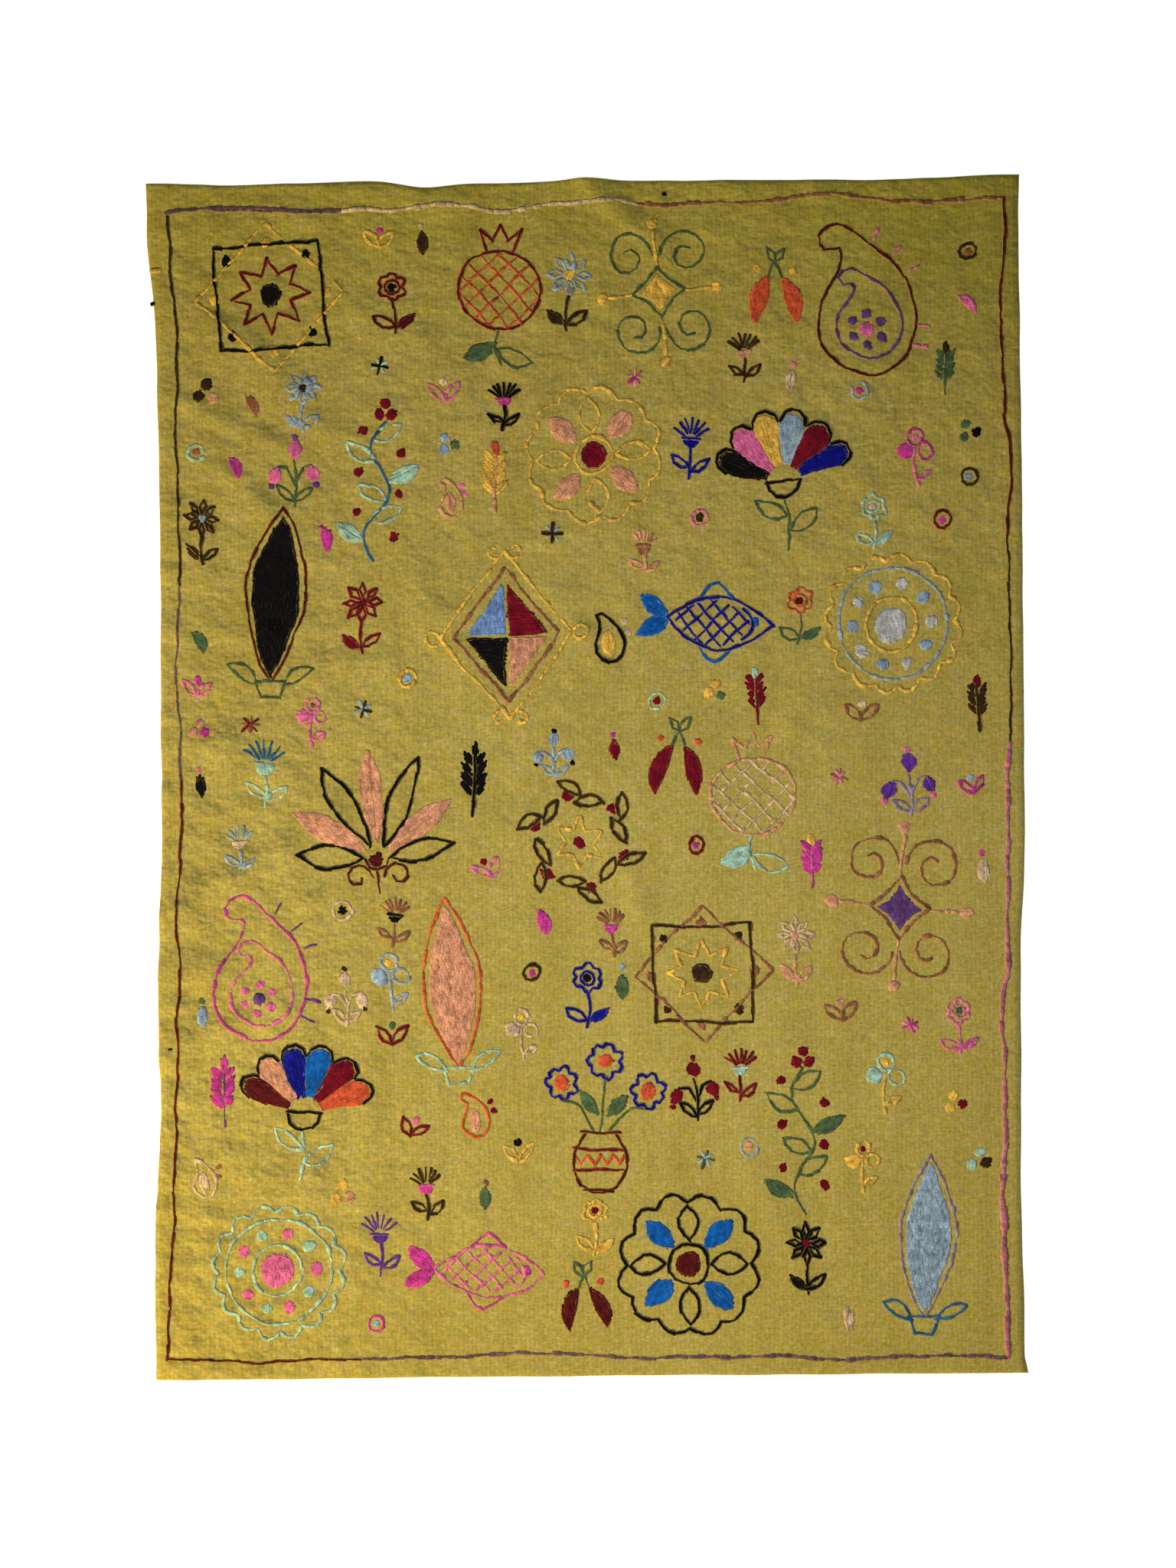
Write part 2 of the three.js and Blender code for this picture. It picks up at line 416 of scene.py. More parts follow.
# Embroidery yarns: sRGB colour, width of a worked stitch, how uneven that width is, and how far
# a stitch in a line runs into the next, as a share of its length
yarns = {
    "black": ("#050408", 4.5, 0.20, 0.20),
    "navy": ("#040b70", 4.1, 0.20, 0.20),
    "cobalt": ("#06529a", 3.9, 0.20, 0.20),
    "teal": ("#1c5a7c", 3.4, 0.22, 0.18),
    "slate": ("#8498a4", 3.0, 0.30, 0.06),
    "sky": ("#6482aa", 3.1, 0.30, 0.06),
    "mint": ("#92b49a", 3.2, 0.32, 0.06),
    "lavender": ("#84748c", 3.1, 0.32, 0.04),
    "mauve": ("#b06073", 4.6, 0.27, 0.14),
    "plum": ("#5a3868", 3.3, 0.25, 0.14),
    "violet": ("#552a7e", 3.3, 0.25, 0.14),
    "dusk": ("#63484f", 3.5, 0.25, 0.14),
    "magenta": ("#b63580", 3.4, 0.27, 0.10),
    "pink": ("#cb5f88", 3.2, 0.32, 0.04),
    "peach": ("#bfa27e", 3.1, 0.32, 0.06),
    "salmon": ("#c28662", 3.2, 0.32, 0.04),
    "orange": ("#bc4c2c", 3.3, 0.25, 0.14),
    "crimson": ("#66041a", 3.9, 0.20, 0.20),
    "maroon": ("#4a0c10", 3.5, 0.25, 0.18),
    "chestnut": ("#521308", 3.7, 0.22, 0.18),
    "umber": ("#332010", 4.2, 0.22, 0.18),
    "brown": ("#86543a", 3.5, 0.32, 0.08),
    "gold": ("#d0a340", 3.5, 0.32, 0.04),
    "moss": ("#455a38", 3.3, 0.25, 0.14),
    "chalk": ("#acaaa0", 2.8, 0.32, 0.06),
}
needle = {
    "stitch": 10.5,  # length of a stitch in a line
    "patchStitch": 15.0,  # length of a stitch in a filled patch
    "patchOverlap": 0.08,
    "patchWidth": 3.2,  # width of a stitch in a patch
    "patchPitch": 1.7,  # from row to row of a patch
    "patchSpread": 0.1,
    "edged": 22.0,  # patches longer than this get a thin line round their edge
    "edgeWeight": 0.55,
    "ragged": 1.0,  # how far a patch's stitches run over or stop short of its outline
    "shortRow": 12.0,  # rows shorter than this keep closer to it
    "tightest": 0.6,  # most that a line turns in one stitch, in radians
    "corner": 0.7,  # a sharper turn than this is a corner, where a stitch ends
    "uneven": 0.16,  # how much the stitches of a line differ in length
    "stagger": 0.45,  # and how far the joints of a patch's rows are set apart
    "lineRelief": 0.25,  # height of a stitch over its half width
    "patchRelief": 0.15,
    "slip": 0.35,  # how far the needle lands off the drawn line
    "waver": 2.4,  # how far a drawn line strays over a hand's breadth
    "tremble": 1.3,  # and over a finger's breadth
    "step": 5.0,  # a drawn line is cut into steps no longer than this
    "netWeight": 0.85,  # thickness of a net's lines
}
worked = {name: [] for name in yarns}  # rows of x, y, x, y, width, shade, relief for each yarn
looseHand = np.random.default_rng(77)  # the uneven ends of patches


# The drawn design strays as one: two slow sines push each point
def stray(points):
    x, y = points.T
    pushX = np.sin(x / 31 + y / 47) + 0.6 * np.sin(y / 17 - x / 59 + 1)
    pushY = np.sin(y / 29 - x / 43 + 2) + 0.6 * np.sin(x / 19 + y / 67)
    return points + needle["waver"] * np.stack([pushX, pushY], -1) / 1.6


# Points at distances along a line of points, where run is each point's own distance
def pointsAlong(points, run, along):
    return np.stack([np.interp(along, run, points[:, 0]), np.interp(along, run, points[:, 1])], -1)


# The distance of each point along its line: the sum of the steps before it
def distances(points):
    return np.concatenate([[0], np.cumsum(np.hypot(*np.diff(points, axis=0).T))])


# A line drawn by hand: cut into short steps and pushed off its course by two sines of the way along it
def tremble(points):
    run = distances(points)
    along = np.union1d(run, np.arange(0, run[-1], needle["step"]))
    phase = hand.uniform(0, 2 * np.pi, 4)
    pushX = np.sin(along / 9 + phase[0]) + np.sin(along / 21 + phase[1])
    pushY = np.sin(along / 8 + phase[2]) + np.sin(along / 24 + phase[3])
    drawn = pointsAlong(points, run, along)
    return drawn + needle["tremble"] * np.stack([pushX, pushY], -1) / 2


# Stitches from rows of start and stop points: each runs a little into the next and lands a little
# off the line
def layStitches(start, stop, width, spread, overlap, relief):
    count = len(start)
    reach = overlap * (stop - start)
    slip = hand.normal(0, needle["slip"], (count, 4))
    widths = width * (1 + spread * hand.normal(0, 1, count).clip(-2, 2))
    shade = hand.normal(0, 1, count).clip(-2, 2)
    ends = np.hstack([start - reach, stop + reach]) + slip
    return np.column_stack([ends, widths, shade, np.full(count, relief)])


# A drawn line is cut at its sharp corners, and each stretch is divided into nearly equal stitches,
# shorter ones where it turns tightly
def workLine(points, yarn, weight):
    way = np.diff(points, axis=0)
    heading = np.unwrap(np.arctan2(way[:, 1], way[:, 0]))
    corners = np.flatnonzero(np.abs(np.diff(heading)) > needle["corner"]) + 1
    marks = np.concatenate([[0], corners, [len(points) - 1]])
    width, spread, overlap = yarns[yarn][1:]
    uneven = needle["uneven"]
    rows = []
    for first, last in zip(marks[:-1], marks[1:]):
        part = points[first:last + 1]
        run = distances(part)
        byLength = round(run[-1] / needle["stitch"])
        ends = pointsAlong(part, run, np.linspace(0, run[-1], 2 + byLength))
        bends = np.diff(np.unwrap(np.arctan2(*np.diff(ends, axis=0).T)))
        count = max(1, byLength, round(np.abs(bends).sum() / needle["tightest"]))
        cuts = np.linspace(0, run[-1], count + 1)
        cuts[1:-1] += hand.uniform(-uneven, uneven, count - 1) * run[-1] / count
        ends = pointsAlong(part, run, cuts)
        rows.append(layStitches(ends[:-1], ends[1:], weight * width, spread, overlap, needle["lineRelief"]))
    return np.concatenate(rows)


# Chords of a closed outline: lines at an angle, a pitch apart, between each pair of crossings
def chords(outline, angle, pitch):
    turn = math.radians(angle)
    axes = np.array([[math.cos(turn), -math.sin(turn)], [math.sin(turn), math.cos(turn)]])
    p = outline @ axes
    low, high = p[:-1], p[1:]
    found = []
    for level in np.arange(p[:, 1].min() + pitch / 2, p[:, 1].max(), pitch):
        crosses = (low[:, 1] > level) != (high[:, 1] > level)
        a, b = low[crosses], high[crosses]
        x = np.sort(a[:, 0] + (level - a[:, 1]) / (b[:, 1] - a[:, 1]) * (b[:, 0] - a[:, 0]))
        found += [np.array([[left, level], [right, level]]) @ axes.T for left, right in zip(x[::2], x[1::2])]
    return found


# A filled patch: close chords with ragged ends, each divided into stitches whose joints are staggered
def workPatch(outline, angle):
    stagger = needle["stagger"]
    rows = []
    for left, right in chords(outline, angle, needle["patchPitch"]):
        length = np.hypot(*(right - left))
        shift = looseHand.normal(0, needle["ragged"], (2, 1)) * (right - left)
        shift = shift / max(length, needle["shortRow"])
        left, right = left + shift[0], right + shift[1]
        count = max(1, round(length / needle["patchStitch"]))
        share = np.linspace(0, 1, count + 1)
        share[1:-1] += hand.uniform(-stagger, stagger, count - 1) / count
        ends = left + share[:, None] * (right - left)
        rows.append(layStitches(ends[:-1], ends[1:], needle["patchWidth"], needle["patchSpread"],
                                needle["patchOverlap"], needle["patchRelief"]))
    return np.concatenate(rows) if rows else np.zeros((0, 7))


# Drawing: lines and patches in millimetres about a motif's own middle

# A stroke is its kind, its points, its yarn, and the weight of a line or the stitches' angle in a patch
def line(points, yarn, weight=1.0):
    return "line", np.asarray(points, float), yarn, weight


def patch(outline, yarn, angle=90.0):
    return "patch", np.asarray(outline, float), yarn, angle


# The point at a radius and an angle
def polar(radius, degrees):
    return radius * math.cos(math.radians(degrees)), radius * math.sin(math.radians(degrees))


# Part of a circle, flattened by squash
def arc(x, y, radius, fromDegrees=0, toDegrees=360, squash=1.0):
    a = np.radians(np.linspace(fromDegrees, toDegrees, 37))
    return np.stack([x + radius * np.cos(a), y + squash * radius * np.sin(a)], -1)


# A ring of round lobes: the radius swells by depth times the size of sin(count a / 2)
def scallops(x, y, radius, count, depth):
    a = np.linspace(0, 2 * np.pi, 10 * count + 1)
    r = radius + depth * np.abs(np.sin(count * a / 2))
    return np.stack([x + r * np.cos(a), y + r * np.sin(a)], -1)


# A star: corners in turn on an outer and an inner circle
def star(x, y, outer, inner, count, turn=90.0):
    a = np.radians(turn + 180 / count * np.arange(2 * count + 1))
    r = np.where(np.arange(2 * count + 1) % 2, inner, outer)
    return np.stack([x + r * np.cos(a), y + r * np.sin(a)], -1)


# A pointed leaf: the middle line turns steadily by bend, the half width is a sine of the way along
def leaf(x, y, heading, length, width, bend=0.0):
    t = np.linspace(0, 1, 13)
    aim = np.radians(heading + bend * (t - 0.5))
    step = length / 12
    midX = x + step * np.concatenate([[0], np.cumsum(np.cos(aim[:-1]))])
    midY = y + step * np.concatenate([[0], np.cumsum(np.sin(aim[:-1]))])
    half = width / 2 * np.sin(np.pi * t) ** 0.85
    sideX, sideY = -np.sin(aim) * half, np.cos(aim) * half
    left = np.stack([midX + sideX, midY + sideY], -1)
    right = np.stack([midX - sideX, midY - sideY], -1)
    return np.concatenate([left, right[::-1][1:]])


# A swinging stem: a straight run pushed sideways by a sine
def swing(x0, y0, x1, y1, swings, reach):
    t = np.linspace(0, 1, 41)
    length = math.hypot(x1 - x0, y1 - y0)
    side = reach * np.sin(2 * np.pi * swings * t)
    return np.stack([x0 + (x1 - x0) * t - (y1 - y0) / length * side,
                     y0 + (y1 - y0) * t + (x1 - x0) / length * side], -1)


# A scroll: a spiral whose radius shrinks evenly to a quarter as it turns
def scroll(x, y, radius, fromDegrees, degrees):
    t = np.linspace(0, 1, 41)
    a = np.radians(fromDegrees + degrees * t)
    r = radius * (1 - 0.75 * t)
    return np.stack([x + r * np.cos(a), y + r * np.sin(a)], -1)


# A soft line through a few points: Catmull-Rom cubics, eight steps from point to point
def soft(points, closed=False):
    p = np.asarray(points, float)
    p = np.vstack([p[-1], p, p[:2]]) if closed else np.vstack([2 * p[0] - p[1], p, 2 * p[-1] - p[-2]])
    a, b, c, d = p[:-3], p[1:-2], p[2:-1], p[3:]
    t = np.linspace(0, 1, 8, endpoint=False)[:, None, None]
    q = 0.5 * (2 * b + (c - a) * t + (2 * a - 5 * b + 4 * c - d) * t ** 2 + (3 * b - a - 3 * c + d) * t ** 3)
    return np.vstack([q.transpose(1, 0, 2).reshape(-1, 2), c[-1]])


# Crossing lines over a closed outline, at 45 degrees either way
def net(outline, pitch, yarn):
    for angle in (45, -45):
        for chord in chords(outline, angle, pitch):
            yield line(chord, yarn, needle["netWeight"])


# A small filled disc, with its stitches at an angle of its own
def dot(x, y, yarn, radius=6.0):
    return patch(arc(x, y, radius), yarn, 37 * x + 23 * y)


# Large motifs: each gives its lines and patches in the order in which they are worked

# A disc in a ring, eight petals filled and open in turn, and a scalloped rim
def sunRosette(rim, petal, heart):
    yield patch(arc(0, 0, 15), heart)
    yield line(arc(0, 0, 25), rim)
    for k in range(8):
        shape = leaf(*polar(30, 45 * k), 45 * k, 42, 25)
        yield patch(shape, petal, 45 * k) if k % 2 else line(shape, rim)
    yield line(scallops(0, 0, 77, 12, 9), rim)


# A netted round fruit with a toothed crown, a stem and two leaves
def pomegranate(skin, seeds, foliage):
    body = arc(0, 2, 54, 0, 360, 0.95)
    yield line(body, skin)
    yield from net(body, 19, seeds)
    yield line([(-17, 52), (-26, 82), (-9, 66), (0, 88), (9, 66), (26, 82), (17, 52)], skin)
    yield line(soft([(0, -50), (-4, -70), (4, -94)]), foliage)
    yield patch(leaf(-2, -66, 205, 46, 21, -30), foliage, 205)
    yield line(leaf(1, -74, -18, 48, 22, 30), foliage)


# A curved drop in a drop, with a flower of dots inside and short rays round its side
def boteh(rim, inner, seed):
    drop = soft([(0, -86), (42, -68), (60, -18), (44, 30), (14, 64), (-22, 90), (-46, 78), (-40, 60),
                 (-22, 62), (-26, 36), (-50, -6), (-46, -58)], closed=True)
    yield line(drop, rim)
    yield line(drop * (0.66, 0.6) + (4, -16), inner)
    yield dot(4, -34, seed, 7)
    for k in range(6):
        x, y = polar(18, 60 * k + 30)
        yield dot(4 + x, -34 + y, inner, 4.5)
    for ray in ([(53, -52), (70, -58)], [(58, -30), (74, -34)], [(52, 30), (66, 36)], [(36, 52), (47, 62)],
                [(15, 72), (23, 84)]):
        yield line(ray, seed)


# A tall leaf in a taller one, on a foot with two leaves
def cypress(body, rim, foot):
    yield patch(leaf(0, -84, 90, 182, 52), body, 90)
    yield line(leaf(0, -90, 90, 200, 68), rim)
    yield line([(-18, -90), (18, -90), (11, -110), (-11, -110), (-18, -90)], foot)
    for side in (-1, 1):
        yield line(leaf(15 * side, -94, 90 - 62 * side, 40, 15, -30 * side), foot)


# Two squares, one on its corner, round a star of eight points, with dots in the corners
def eightStar(first, second, heart):
    yield line(star(0, 0, 88, 62.2, 4, 45), first)
    yield line(star(0, 0, 88, 62.2, 4, 90), second)
    yield line(star(0, 0, 45, 25, 8), heart)
    yield patch(arc(0, 0, 12), first)
    for k in range(8):
        yield dot(*polar(66, 45 * k + 45), (first, second)[k % 2], 5)


# A vase with two bands and a zigzag, three round flowers on bending stems, and two leaves
def flowerVase(clay, band, stem, bloom, heart):
    yield line(soft([(-19, -24), (-34, -52), (-28, -82), (-14, -96), (14, -96), (28, -82), (34, -52),
                     (19, -24)]), clay)
    yield line([(-25, -22), (25, -22)], clay)
    yield line([(-17, -96), (17, -96)], clay)
    yield line([(-33, -44), (33, -44)], band)
    yield line(np.column_stack([np.linspace(-31, 31, 9), -57 + 6 * (-1.0) ** np.arange(9)]), heart)
    yield line([(-32, -70), (32, -70)], band)
    for x, y in ((-54, 34), (0, 64), (54, 34)):
        yield line(soft([(0.2 * x, -20), (0.6 * x, 0.25 * y), (x, y - 22)]), stem)
        yield dot(x, y, heart, 8)
        yield line(scallops(x, y, 16, 7, 6), bloom)
    for side in (-1, 1):
        yield patch(leaf(7 * side, 0, 90 - 42 * side, 34, 14), stem, 90 - 42 * side)


# A fan of petals with round tips, each in its own colour, over a cup, a bending stem and two leaves
def carnationFan(petals, rim, stem):
    step = 156 / len(petals)
    for k, yarn in enumerate(petals):
        middle = 12 + step * (k + 0.5)
        side = np.array([polar(24, middle + 0.42 * step), polar(70, middle + 0.46 * step)]) + (0, -14)
        other = np.array([polar(70, middle - 0.46 * step), polar(24, middle - 0.42 * step)]) + (0, -14)
        tipX, tipY = polar(70, middle)
        lobe = arc(tipX, tipY - 14, 70 * math.sin(math.radians(0.46 * step)), middle + 90, middle - 90)
        yield patch(np.vstack([side, lobe, other, side[:1]]), yarn, middle)
        yield line(lobe * 1.06 + (0, 1), rim)
    yield line(arc(0, -14, 21, 180, 360), rim)
    yield line([(-22, -13), (22, -13)], rim)
    yield line(soft([(0, -36), (4, -62), (-3, -96)]), stem)
    for side in (-1, 1):
        yield line(leaf(2, -66 - 8 * side, 90 - 58 * side, 46, 18, 26 * side), stem)


# A netted leaf with an eye, a gill, two tail fins and two side fins
def fish(skin, scales, fin):
    body = leaf(80, 0, 180, 142, 70)
    yield line(body, skin)
    yield from net(body * (0.74, 0.84) + (-6, 0), 16, scales)
    yield dot(56, 5, fin, 5)
    yield line(arc(30, 0, 24, -62, 62), skin)
    for side in (-1, 1):
        yield patch(leaf(-60, 0, 180 - 34 * side, 46, 20), fin, 180 - 34 * side)
        yield line(soft([(28, 33 * side), (2, 52 * side), (-18, 31 * side)]), fin)


# A disc in two rings with ten dots between them, and a scalloped rim
def moonDisc(rim, circle, drops):
    yield patch(arc(0, 0, 18), drops)
    yield line(arc(0, 0, 30), circle)
    yield line(arc(0, 0, 63), rim)
    yield line(scallops(0, 0, 71, 16, 9), circle)
    for k in range(10):
        yield dot(*polar(46, 36 * k), (drops, rim)[k % 2], 6)


# A swinging stem with a leaf and a berry to either side in turn, and three berries on top
def vine(stem, foliage, berry):
    yield line(swing(0, -94, 0, 88, 1.5, 15), stem)
    for k in range(6):
        side, y = (-1, 1)[k % 2], -70 + 27 * k
        shape = leaf(-15 * math.sin(3 * math.pi * (y + 94) / 182), y, 90 - 60 * side, 42, 19, 20 * side)
        yield patch(shape, foliage, 90 - 60 * side) if k % 3 == 0 else line(shape, foliage)
        yield dot(-26 * side, y + 10, berry, 5)
    for x, y in ((-8, 96), (8, 98), (0, 110)):
        yield dot(x, y, berry)


# A diamond in a diamond with filled quarters, scrolls at its tips and rings at its sides
def lozenge(rim, inner, quarters):
    diamond = np.array([(0, 1), (1, 0), (0, -1), (-1, 0), (0, 1)])
    yield line(diamond * (76, 98), rim)
    yield line(diamond * (60, 78), inner)
    for k, yarn in enumerate(quarters):
        quarter = np.array([(3, 3), (3, 58), (44, 3), (3, 3)]) * ((1, -1, -1, 1)[k], (1, 1, -1, -1)[k])
        yield patch(quarter, yarn, 90 * (k % 2))
    for side in (-1, 1):
        yield line(scroll(12, 98 * side, 12, 180, 330 * side), rim)
        yield line(scroll(-12, 98 * side, 12, 0, -330 * side), rim)
        yield line(arc(86 * side, 0, 9), rim)


# Four scrolls round a small star, with straight arms between them that end in dots
def ramsHorn(horn, heart, tip):
    yield patch(star(0, 0, 24, 14, 4), heart)
    yield line(star(0, 0, 36, 21, 4), horn)
    for sideX in (-1, 1):
        for sideY in (-1, 1):
            start = 180 if sideX > 0 else 0
            yield line(scroll(38 * sideX, 50 * sideY, 34, start, -sideX * sideY * 480), horn)
        yield line([(36 * sideX, 0), (70 * sideX, 0)], tip)
        yield dot(78 * sideX, 0, tip)
    for side in (1, -1):
        yield line([(0, 36 * side), (0, 84 * side)], tip)
        yield dot(0, 92 * side, tip)


# Seven leaves spread from a cup, longest in the middle, over two scrolls and a stem
def palmette(first, second, base):
    for k, heading in enumerate(np.linspace(6, 174, 7)):
        x, y = polar(18, heading)
        shape = leaf(x, y - 56, heading, 74 + 42 * math.sin(math.radians(heading)), 27)
        yield patch(shape, second, heading) if k % 2 else line(shape, first)
    yield line(arc(0, -56, 14, 180, 360), base)
    yield dot(0, -56, base, 8)
    for side in (-1, 1):
        yield line(scroll(24 * side, -78, 18, 90 + 90 * side, -360 * side), base)
    yield line([(0, -72), (0, -98)], base)


# A star with a dot, in a ring of twelve leaves and six berries
def wreath(foliage, bloom, heart):
    yield line(star(0, 0, 34, 17, 6), heart)
    yield dot(0, 0, bloom, 7)
    for k in range(12):
        yield line(leaf(*polar(58, 30 * k), 30 * k + (58 if k % 2 else 122), 36, 15, 20), foliage)
        if k % 2:
            yield dot(*polar(60, 30 * k + 15), bloom, 6)


# Sprigs

# A stem with three bells, two of them on arms, and two leaves
def bellSprig(stem, bell, heart):
    yield line(soft([(0, -46), (3, -14), (-2, 18)]), stem)
    for x, y, heading in ((-24, 8, 250), (24, 14, 290), (-1, 22, 90)):
        yield patch(leaf(x, y, heading, 26, 19), bell, heading)
        yield dot(*np.add(polar(30, heading), (x, y)), heart, 3.6)
    yield line(soft([(2, -16), (-12, 8), (-24, 8)]), stem)
    yield line(soft([(2, -12), (14, 12), (24, 14)]), stem)
    for heading in (40, 140):
        yield line(leaf(1, -40, heading, 34, 13), stem)


# A round flower with a ring in it, on a stem with two leaves
def poppySprig(stem, bloom, heart):
    yield line(scallops(0, 28, 16, 6, 6), bloom)
    yield line(arc(0, 28, 11), bloom)
    yield dot(0, 28, heart, 5.5)
    yield line(soft([(0, 8), (3, -18), (0, -48)]), stem)
    yield patch(leaf(1, -38, 35, 36, 15, 30), stem, 35)
    yield line(leaf(1, -38, 148, 38, 16, -30), stem)


# Three round leaflets, one of them filled, on a stem with one leaf
def cloverSprig(stem, foliage, heart):
    yield line(arc(0, 36, 13), foliage)
    yield patch(arc(-17, 14, 12), foliage, 20)
    yield line(arc(17, 14, 13), foliage)
    yield dot(0, 36, heart, 4.5)
    yield line(soft([(0, 20), (-2, -8), (3, -44)]), stem)
    yield line(leaf(1, -30, 30, 30, 12), stem)


# A straight stem with four pairs of grains and one at the tip
def wheatEar(stem, grain, tip):
    yield line([(0, -52), (1, 30)], stem)
    yield patch(leaf(1, 30, 90, 24, 10), tip, 90)
    for k in range(4):
        for side in (-1, 1):
            yield patch(leaf(side, -22 + 14 * k, 90 - 40 * side, 25, 9), grain, 90 - 40 * side)


# Eight open petals round a dot, on a stem with two leaves
def daisySprig(stem, petal, heart):
    yield dot(0, 26, heart, 6.5)
    for k in range(8):
        yield line(leaf(*np.add(polar(8, 45 * k), (0, 26)), 45 * k, 22, 11), petal)
    yield line(soft([(0, -4), (-3, -24), (2, -52)]), stem)
    yield line(leaf(0, -44, 38, 34, 13, 20), stem)
    yield patch(leaf(0, -44, 142, 34, 13, -20), stem, 142)


# Two long bent fruits that hang from one stalk, with a dot beside each and two leaves
def pepperPair(skin, cap, shine):
    for side in (-1, 1):
        yield patch(leaf(9 * side, 24, 270 + 16 * side, 70, 23, -46 * side), skin, 270)
        yield line(soft([(9 * side, 26), (5 * side, 36), (0, 44)]), cap)
        yield dot(27 * side, 34, shine, 4)
    for heading in (55, 125):
        yield line(leaf(0, 44, heading, 24, 11), cap)


# A tuft of seven rays on half a disc, with a stem and two leaves
def thistleSprig(stem, tuft, cup):
    for a in np.linspace(35, 145, 7):
        yield line(np.add([polar(12, a), polar(34, a)], (0, 10)), tuft)
    yield patch(np.vstack([arc(0, 10, 12, 180, 360), [(-12, 10)]]), cup, 90)
    yield line([(-14, 12), (14, 12)], cup)
    yield line(soft([(0, -4), (2, -26), (-2, -50)]), stem)
    yield line(leaf(0, -40, 35, 36, 12, 30), stem)
    yield line(leaf(0, -34, 146, 34, 12, -30), stem)


# A curved drop with a leaf inside and two dots beside it
def smallBoteh(rim, heart, tip):
    yield line(soft([(0, -34), (20, -24), (24, 2), (8, 28), (-12, 42), (-20, 32), (-10, 26), (-14, 6),
                     (-20, -18)], closed=True), rim)
    yield patch(leaf(2, -24, 92, 38, 18), heart, 92)
    yield dot(26, 26, tip, 4)
    yield dot(30, 10, tip, 4)


# Fillers

# A dot in a ring
def ringDot(first, second):
    yield line(arc(0, 0, 12), first)
    yield dot(0, 0, second, 4.5)


# Three dots in a triangle
def threeDots(first, second):
    yield dot(0, 10, first)
    yield dot(-9, -5, first)
    yield dot(9, -5, second)


# A filled leaf under a dot
def tear(first, second):
    yield patch(leaf(0, -14, 90, 30, 14), first, 90)
    yield dot(0, 24, second, 3.5)


# Two crosses, one of them aslant
def crosslet(first, second):
    yield line([(-12, 0), (12, 0)], first)
    yield line([(0, -12), (0, 12)], first)
    yield line([(-8, -8), (8, 8)], second)
    yield line([(-8, 8), (8, -8)], second)


# Two open leaves and a dot
def leafPair(first, second):
    for heading in (48, 132):
        yield line(leaf(0, -12, heading, 30, 12), first)
    yield dot(0, 12, second, 4)


# One bent leaf, of the first yarn alone
def comma(first, second):
    yield patch(leaf(-4, 14, 285, 34, 13, -60), first, 270)


# Works a motif into the cloth: drawn by hand, then stitched
def embroider(strokes, x=0.0, y=0.0):
    for kind, points, yarn, value in strokes:
        drawn = stray(tremble(points + (x, y)))
        if kind == "patch":
            worked[yarn].append(workPatch(drawn, value))
        if kind == "line" or np.ptp(drawn, axis=0).max() > needle["edged"]:
            worked[yarn].append(workLine(drawn, yarn, value if kind == "line" else needle["edgeWeight"]))


# Turns and sizes a motif, and moves the middle of its box to zero. Also gives half the box's sides
def fitted(strokes, turn, size):
    a = math.radians(turn)
    axes = size * np.array([[math.cos(a), math.sin(a)], [-math.sin(a), math.cos(a)]])
    turned = [(kind, points @ axes, yarn, value + turn * (kind == "patch"))
              for kind, points, yarn, value in strokes]
    every = np.concatenate([points for _, points, _, _ in turned])
    low, high = every.min(0), every.max(0)
    middle = (low + high) / 2
    return [(kind, points - middle, yarn, value) for kind, points, yarn, value in turned], (high - low) / 2


design = {
    "rowStep": 205.0,  # from row to row of large motifs
    "columnStep": 135.0,  # from a large motif to the sprig beside it
    "jitter": 34.0,  # how far a motif is first set from its place in the rows
    "turn": 5.0,
    "sizeSpread": 0.08,
    "sprigSize": 0.86,
    "smallSprigSize": 0.7,
    "extraSize": 0.9,
    "extras": 30,  # fillers dropped into the widest gaps
    "extraTurn": 30.0,
    "extraRoom": (16, 18),  # how far their middles keep inside the field
    "extraStep": 6,  # spacing of the places that are tried
    "largeSize": 1.06,
    "margin": 9.0,  # room left between motifs
    "rounds": 300,  # how often they are moved apart, and by what share of their overlap each time
    "give": 0.3,
    "field": (522.0, 728.0),  # half the sides of the space inside the border
}
# Rows of large motifs from the top down, each from left to right
largeRows = [
    [eightStar("black", "gold", "crimson"), pomegranate("crimson", "orange", "moss"),
     ramsHorn("moss", "gold", "gold"), boteh("maroon", "plum", "pink")],
    [vine("teal", "mint", "crimson"), sunRosette("gold", "salmon", "crimson"),
     carnationFan(["navy", "crimson", "slate", "gold", "pink", "black"], "black", "moss")],
    [cypress("black", "maroon", "moss"), lozenge("gold", "brown", ["crimson", "sky", "black", "salmon"]),
     fish("navy", "navy", "cobalt"), moonDisc("slate", "gold", "chalk")],
    [palmette("black", "salmon", "maroon"), wreath("umber", "crimson", "gold"),
     pomegranate("salmon", "peach", "mint")],
    [boteh("magenta", "pink", "plum"), cypress("salmon", "orange", "mint"),
     eightStar("umber", "brown", "gold"), ramsHorn("brown", "plum", "salmon")],
    [carnationFan(["orange", "crimson", "cobalt", "navy", "salmon", "maroon"], "black", "mint"),
     flowerVase("maroon", "crimson", "moss", "navy", "orange"), vine("moss", "moss", "crimson")],
    [moonDisc("mint", "mint", "pink"), fish("pink", "pink", "magenta"),
     sunRosette("black", "cobalt", "maroon"), cypress("slate", "lavender", "teal")],
]
